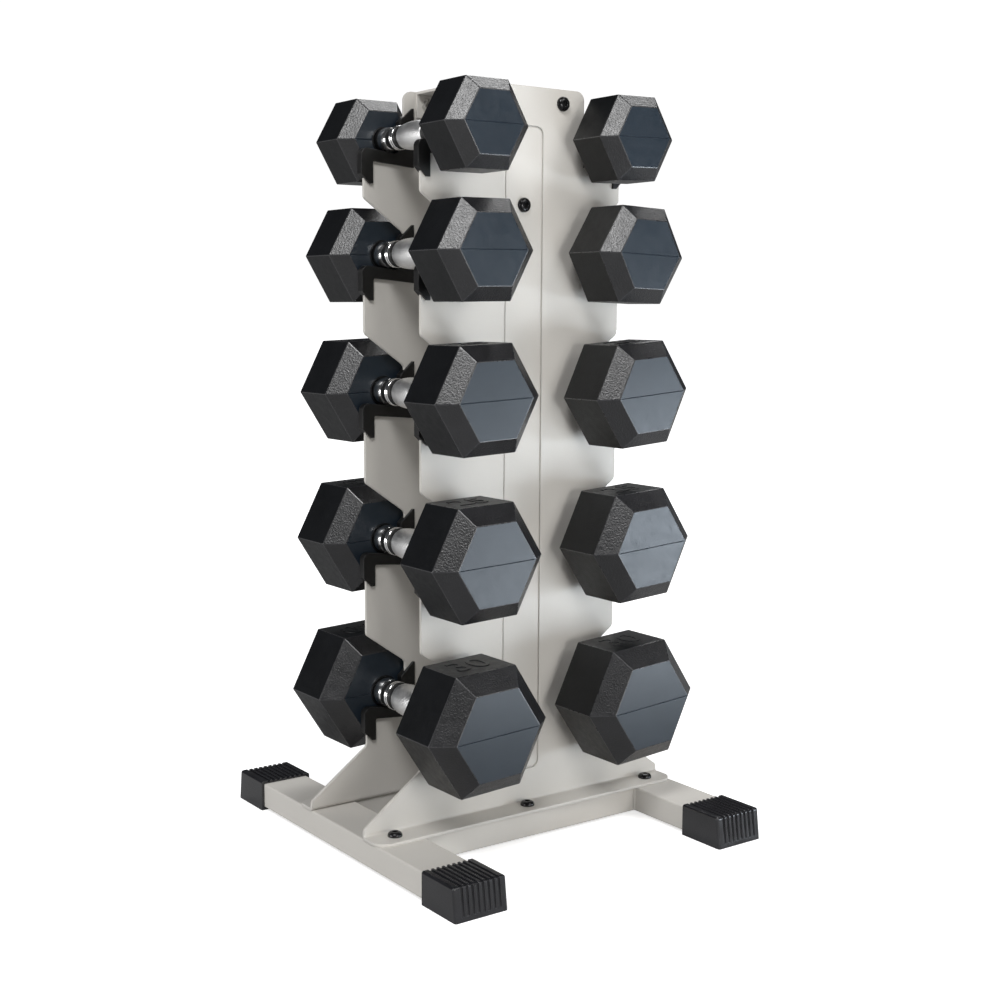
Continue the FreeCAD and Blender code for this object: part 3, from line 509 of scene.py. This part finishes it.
def add_collar(mesh, radius, along, facing):
    """A low rounded collar on a head's inner face, where the neck runs in."""
    # (share of the collar's width, share of its height) round its section; +0.5 is in the head
    section = [(1.0, 0.5), (1.0, -0.4), (0.75, -0.85), (0.4, -1.0), (0.0, -0.8), (0.0, 0.5)]
    profile = [(radius + COLLAR_WIDTH * share, height) for share, height in section]
    rings = []
    for k in range(COLLAR_STEPS):
        turn = 2 * math.pi * k / COLLAR_STEPS
        ring = []
        for r, height in profile:
            level = facing * (along + height * COLLAR_OUT)
            ring.append(mesh.verts.new((r * math.cos(turn), level, r * math.sin(turn))))
        rings.append(ring)
    for k in range(COLLAR_STEPS):
        near, far = rings[k], rings[(k + 1) % COLLAR_STEPS]
        for j in range(len(profile)):
            step = (j + 1) % len(profile)
            face = mesh.faces.new((near[j], near[step], far[step], far[j]))
            face.smooth = True
            face.material_index = HEAD_SIDE


def place_of(side, tier):
    """Where a dumbbell lies: a matrix from its own axes to the rack's."""
    low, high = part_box("handle_%s_%d" % (side, tier))
    middle = (low + high) / 2
    turn = Matrix.Rotation(-math.radians(TURN[side][tier]), 4, "Y")
    return Matrix.Translation(middle) @ turn


def make_head(side, tier, end, facing):
    """One rubber-covered head of a dumbbell."""
    mesh = bmesh.new()
    inner = HEAD_GAP[tier] * MM
    outer = inner + HEAD_LENGTH[tier] * MM
    rounded = head_blank(mesh, FLATS[tier] * MM, inner, outer, facing)
    for face in mesh.faces:
        lean = abs(face.normal.y)
        # bevelled edges take the lighter edge rubber, a painted highlight
        if face in rounded:
            face.material_index = HEAD_EDGE
        elif lean > END_LEAN:
            face.material_index = HEAD_FACE
        elif lean > BAND_LEAN:
            face.material_index = HEAD_BAND
        else:
            face.material_index = HEAD_SIDE
    flat_ends = [f for f in mesh.faces if abs(f.normal.y) > FLAT_LEAN and len(f.verts) == 6]
    for face in flat_ends:
        part_end(mesh, face)
    add_collar(mesh, NECK[tier] * MM, inner, facing)
    bmesh.ops.recalc_face_normals(mesh, faces=mesh.faces)
    mesh.transform(place_of(side, tier))
    name = "head_%s_%d_%s" % (side, tier, end)
    body = "dumbbell_%s_%d" % (side, tier)
    node = "heads_%s_%d" % (side, tier)
    make_numeral(side, tier, end, facing, (inner + outer) / 2)
    finish_piece(name, mesh, HEAD_MATERIALS, body, [node])


def make_numeral(side, tier, end, facing, along):
    """A raised number on the top flat of a head, read from the end it is on."""
    flats = FLATS[tier] * MM
    curve = bpy.data.curves.new("numeral", "FONT")
    curve.body = NUMERAL[tier]
    curve.size = flats * NUMERAL_SHARE
    curve.align_x = "CENTER"
    curve.align_y = "CENTER"
    curve.extrude = NUMERAL_RAISE
    curve.bevel_depth = NUMERAL_EDGE
    curve.bevel_resolution = 1
    source = bpy.data.objects.new("numeral_source", curve)
    data = bpy.data.meshes.new_from_object(source)
    bpy.data.objects.remove(source)
    bpy.data.curves.remove(curve)
    mesh = bmesh.new()
    mesh.from_mesh(data)
    bpy.data.meshes.remove(data)
    bmesh.ops.remove_doubles(mesh, verts=mesh.verts, dist=0.01 * MM)
    about = Matrix.Rotation(0.0 if facing < 0 else math.pi, 4, "Z")
    lift = Matrix.Translation((0.0, facing * along, flats / 2))
    mesh.transform(place_of(side, tier) @ lift @ about)
    name = "numeral_%s_%d_%s" % (side, tier, end)
    finish_piece(name, mesh, [RUBBER_SIDE], "dumbbell_%s_%d" % (side, tier))


def handle_profile(neck, end):
    """(radius, distance along, material) from the grip's edge out to the head."""
    low = neck - GROOVE_DEEP
    line = neck - RING_LINE_DEEP
    thin = neck - NECK_TAPER
    ring_middle = (RING_INNER + RING_OUTER) / 2
    return [
        (low, GRIP_HALF + GROOVE_WALL, DARK),
        (low, RING_INNER - GROOVE_WALL, DARK),
        (neck - RING_EDGE, RING_INNER, SMOOTH),
        (neck, RING_INNER + RING_ROUND, SMOOTH),
        (neck, ring_middle - RING_LINE_REACH, SMOOTH),
        (line, ring_middle - RING_LINE_HALF, DARK),
        (line, ring_middle + RING_LINE_HALF, SMOOTH),
        (neck, ring_middle + RING_LINE_REACH, SMOOTH),
        (neck, RING_OUTER - RING_ROUND, SMOOTH),
        (neck - RING_EDGE, RING_OUTER, SMOOTH),
        (low, RING_OUTER + GROOVE_WALL, DARK),
        (low, NECK_START - GROOVE_WALL, DARK),
        (thin - NECK_EDGE, NECK_START, SMOOTH),
        (thin, NECK_START + RING_ROUND, SMOOTH),
        (neck - NECK_TAPER * NECK_FLARE_SHARE, NECK_START + NECK_FLARE, SMOOTH),
        (neck, NECK_FULL, SMOOTH),
        (neck, end, SMOOTH),
    ]


def ring_of(mesh, radius_at, along, count):
    """A ring of vertices about the Y axis; radius_at gives its radius at each step."""
    made = []
    for k in range(count):
        turn = 2 * math.pi * k / count
        radius = radius_at(k)
        made.append(mesh.verts.new((radius * math.cos(turn), along, radius * math.sin(turn))))
    return made


def skin(mesh, rings, materials):
    """Faces between neighbouring rings, each strip with its material index."""
    count = len(rings[0])
    for near, far, material in zip(rings, rings[1:], materials):
        for k in range(count):
            face = mesh.faces.new((near[k], near[(k + 1) % count], far[(k + 1) % count], far[k]))
            face.material_index = material
            face.smooth = True


def grip_radius(neck, along, step, row):
    """The radius of the knurled grip: a bulge, rounded shoulders, and a diamond pattern."""
    bulge = GRIP_BULGE * (1 - (along / GRIP_HALF) ** 2)
    from_edge = min(1.0, (GRIP_HALF - abs(along)) / KNURL_SHOULDER)
    shoulder = KNURL_SHOULDER_DROP * (1 - math.sqrt(max(0.0, 1 - (1 - from_edge) ** 2)))
    phase = math.pi * step / KNURL_STEPS
    climb = math.pi * row / KNURL_STEPS
    diamond = abs(math.sin((phase + climb) / 2)) * abs(math.sin((phase - climb) / 2))
    return neck + bulge - shoulder - KNURL_DEEP * (1 - diamond) * from_edge


def make_handle(side, tier):
    """A dumbbell's chromed handle: knurled grip, rings, grooves and necks."""
    mesh = bmesh.new()
    neck = NECK[tier] * MM
    end = HEAD_GAP[tier] * MM + HANDLE_SUNK
    count = KNURL_AROUND * KNURL_STEPS
    pitch = 2 * math.pi * neck / KNURL_AROUND
    rows = int(round(GRIP_HALF / pitch)) * KNURL_STEPS
    rings = []
    materials = []
    outer = handle_profile(neck, end)
    for radius, along, material in reversed(outer):
        rings.append(ring_of(mesh, lambda k, r=radius: r, -along, count))
        materials.append(material)
    # a strip takes the material of the station nearer the grip, so the two sides mirror
    materials = materials[1:] + [DARK]
    for row in range(-rows, rows + 1):
        along = GRIP_HALF * row / rows
        rings.append(ring_of(
            mesh, lambda k, a=along, r=row: grip_radius(neck, a, k, r), along, count))
        materials.append(KNURL)
    materials[-1] = DARK
    for radius, along, material in outer:
        rings.append(ring_of(mesh, lambda k, r=radius: r, along, count))
        materials.append(material)
    skin(mesh, rings, materials)
    mesh.faces.new(rings[0])
    mesh.faces.new(rings[-1])
    bmesh.ops.recalc_face_normals(mesh, faces=mesh.faces)
    mesh.transform(place_of(side, tier))
    name = "handle_piece_%s_%d" % (side, tier)
    body = "dumbbell_%s_%d" % (side, tier)
    node = "handle_%s_%d" % (side, tier)
    finish_piece(name, mesh, (CHROME, KNURLED, GROOVE), body, [node])


def make_weld(side, end):
    """The two rippled weld beads between a crossbar and a foot tube."""
    mesh = bmesh.new()
    across = -1 if side == "left" else 1
    depth = -1 if end == "front" else 1
    low = TUBE_LOW + BEAD_MARGIN
    height = TUBE_TOP - TUBE_LOW - 2 * BEAD_MARGIN
    for face_at in CROSSBAR_FACES:
        rings = []
        for k in range(BEAD_STEPS + 1):
            up = low + height * k / BEAD_STEPS
            swell = BEAD_RADIUS - BEAD_RIPPLE * abs(math.cos(math.pi * k / 3))
            if k in (0, BEAD_STEPS):
                swell *= BEAD_END_SHARE
            ring = []
            for j in range(BEAD_SIDES):
                turn = 2 * math.pi * j / BEAD_SIDES
                ring.append(mesh.verts.new((
                    across * FOOT_INNER + swell * math.cos(turn),
                    depth * face_at + swell * math.sin(turn),
                    up,
                )))
            rings.append(ring)
        skin(mesh, rings, [0] * BEAD_STEPS)
        mesh.faces.new(rings[0])
        mesh.faces.new(rings[-1])
    bmesh.ops.recalc_face_normals(mesh, faces=mesh.faces)
    finish_piece("weld_%s_%s" % (end, side), mesh, [COAT], "rack")


# ---------------------------------------------------------------- studio

def make_floor():
    """A plain pale floor, which throws less light back up at the rack than it shows."""
    s = Shader("floor_white")
    seen = s.nodes.new("ShaderNodeLightPath").outputs["Is Camera Ray"]
    pale = s.blend(s.noise(0.6), (0.90, 0.90, 0.90), (0.93, 0.93, 0.93))
    s.join(s.blend(seen, (0.30, 0.30, 0.30), pale), "Base Color")
    s.set("Roughness", 0.9)
    s.set("Specular IOR Level", 0.0)
    s.set("Emission Color", (1.0, 1.0, 1.0, 1.0))
    far = s.nodes.new("ShaderNodeVectorMath")
    far.operation = "LENGTH"
    s.links.new(s.place, far.inputs[0])
    glow = s.nodes.new("ShaderNodeMath")
    glow.operation = "MULTIPLY"
    s.links.new(s.spread(far.outputs["Value"], 0.62, 1.30, 0.9, 2.6), glow.inputs[0])
    s.links.new(s.spread(seen, 0.26, 1.0, 0.0, 1.0), glow.inputs[1])
    s.join(glow.outputs["Value"], "Emission Strength")
    mesh = bmesh.new()
    bmesh.ops.create_grid(mesh, x_segments=1, y_segments=1, size=FLOOR_SIZE)
    data = bpy.data.meshes.new("studio_floor")
    mesh.to_mesh(data)
    mesh.free()
    data.materials.append(s.material)
    floor = bpy.data.objects.new("studio_floor", data)
    bpy.context.scene.collection.objects.link(floor)


def make_world():
    """An even, slightly cool surround; the backdrop itself is white."""
    world = bpy.data.worlds.new("studio")
    bpy.context.scene.world = world
    world.use_nodes = True
    nodes = world.node_tree.nodes
    links = world.node_tree.links
    fill = nodes["Background"]
    fill.inputs["Color"].default_value = (*FILL_COLOUR, 1.0)
    fill.inputs["Strength"].default_value = FILL_STRENGTH
    backdrop = nodes.new("ShaderNodeBackground")
    backdrop.inputs["Color"].default_value = (*WHITE, 1.0)
    backdrop.inputs["Strength"].default_value = BACKDROP_STRENGTH
    path = nodes.new("ShaderNodeLightPath")
    mix = nodes.new("ShaderNodeMixShader")
    links.new(path.outputs["Is Camera Ray"], mix.inputs["Fac"])
    links.new(fill.outputs["Background"], mix.inputs[1])
    links.new(backdrop.outputs["Background"], mix.inputs[2])
    links.new(mix.outputs["Shader"], nodes["World Output"].inputs["Surface"])


def make_panel(name, place, size, radiance, colour=WHITE, aim=RACK_MIDDLE):
    """A soft box of size (across, up) and even radiance, turned to the point aim."""
    lamp = bpy.data.lights.new(name, "AREA")
    lamp.shape = "RECTANGLE"
    lamp.size, lamp.size_y = size
    lamp.energy = radiance * math.pi * size[0] * size[1]
    lamp.color = colour
    item = bpy.data.objects.new(name, lamp)
    bpy.context.scene.collection.objects.link(item)
    item.location = place
    item.visible_camera = False
    item.rotation_euler = (Vector(aim) - Vector(place)).to_track_quat("-Z", "Y").to_euler()


def make_lights():
    """A key at the upper front left, low panels at the front right, and softer ones round."""
    make_panel("key_panel", place=(-1.25, -1.25, 2.40), size=(0.85, 0.80), radiance=19.0)
    make_panel(
        "low_panel",
        place=(1.50, -1.40, 0.10),
        size=(0.80, 0.38),
        radiance=14.0,
        colour=COOL,
        aim=(0.0, -0.1, 0.25),
    )
    make_panel(
        "floor_panel",
        place=(0.56, -0.98, 0.02),
        size=(0.80, 0.60),
        radiance=7.0,
        colour=MILDLY_COOL,
        aim=(0.52, -1.00, 1.0),
    )
    make_panel(
        "back_panel",
        place=(1.30, 0.95, 2.40),
        size=(1.30, 1.30),
        radiance=6.0,
        aim=(0.0, 0.0, 0.6),
    )
    make_panel("left_panel", place=(-2.60, 0.20, 0.45), size=(1.60, 0.80), radiance=7.0)
    make_panel(
        "front_panel", place=(1.10, -2.70, 2.50), size=(1.50, 1.60), radiance=4.5, colour=WARM)
    make_panel(
        "fill_panel", place=(-0.10, -3.00, 0.45), size=(1.20, 0.80), radiance=9.0, colour=WARM)


def make_camera():
    """A camera at the front left, a little above the rack's middle."""
    level = Vector((math.cos(CAMERA_AZIMUTH), math.sin(CAMERA_AZIMUTH), 0.0))
    forward = Vector((-math.sin(CAMERA_AZIMUTH), math.cos(CAMERA_AZIMUTH), 0.0))
    ahead = forward * math.cos(CAMERA_PITCH) + Vector((0.0, 0.0, math.sin(CAMERA_PITCH)))
    upright = level.cross(ahead)
    across = level * math.cos(CAMERA_ROLL) + upright * math.sin(CAMERA_ROLL)
    up = upright * math.cos(CAMERA_ROLL) - level * math.sin(CAMERA_ROLL)
    turn = Matrix((across, up, -ahead)).transposed()
    lens = bpy.data.cameras.new("camera")
    lens.sensor_width = CAMERA_SENSOR
    lens.lens = CAMERA_LENS
    lens.shift_x, lens.shift_y = CAMERA_SHIFT
    camera = bpy.data.objects.new("camera", lens)
    bpy.context.scene.collection.objects.link(camera)
    camera.matrix_world = Matrix.Translation(CAMERA_PLACE) @ turn.to_4x4()
    bpy.context.scene.camera = camera


dress_cad_nodes()
for side in SIDES:
    for tier in TIERS:
        make_head(side, tier, "front", -1)
        make_head(side, tier, "rear", 1)
        make_handle(side, tier)
    for end in ("front", "rear"):
        make_weld(side, end)
make_floor()
make_world()
make_lights()
make_camera()
bpy.context.scene.view_settings.view_transform = "Standard"
bpy.context.scene.view_settings.look = "None"
